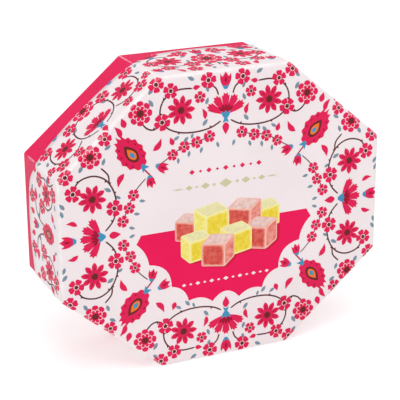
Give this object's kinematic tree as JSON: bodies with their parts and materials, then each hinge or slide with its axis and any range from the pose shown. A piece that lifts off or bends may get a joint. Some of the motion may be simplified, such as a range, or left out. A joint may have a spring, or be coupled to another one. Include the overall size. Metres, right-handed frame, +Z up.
{
  "type": "octagonal turkish delight gift carton",
  "caption": "Shut eight-sided gift carton for turkish delight, standing on one edge panel: a printed board lid pushed down over a coloured tray that shows as a strip behind it.",
  "frame": {"origin": "on the ground, under the middle of the carton's width and depth", "axes": "+X along the width of the printed face, -Y out of the printed face, +Z up"},
  "size_m": [0.2032, 0.0604, 0.1741],
  "materials": {
    "printed_board": "off-white coated board with a satin print of small flowers in pinkish red, brown and blue-grey",
    "tray_board": "satin pinkish red coated board"
  },
  "bodies": {
    "root": {"lid": "printed_board", "tray": "tray_board"}
  },
  "joints": []
}
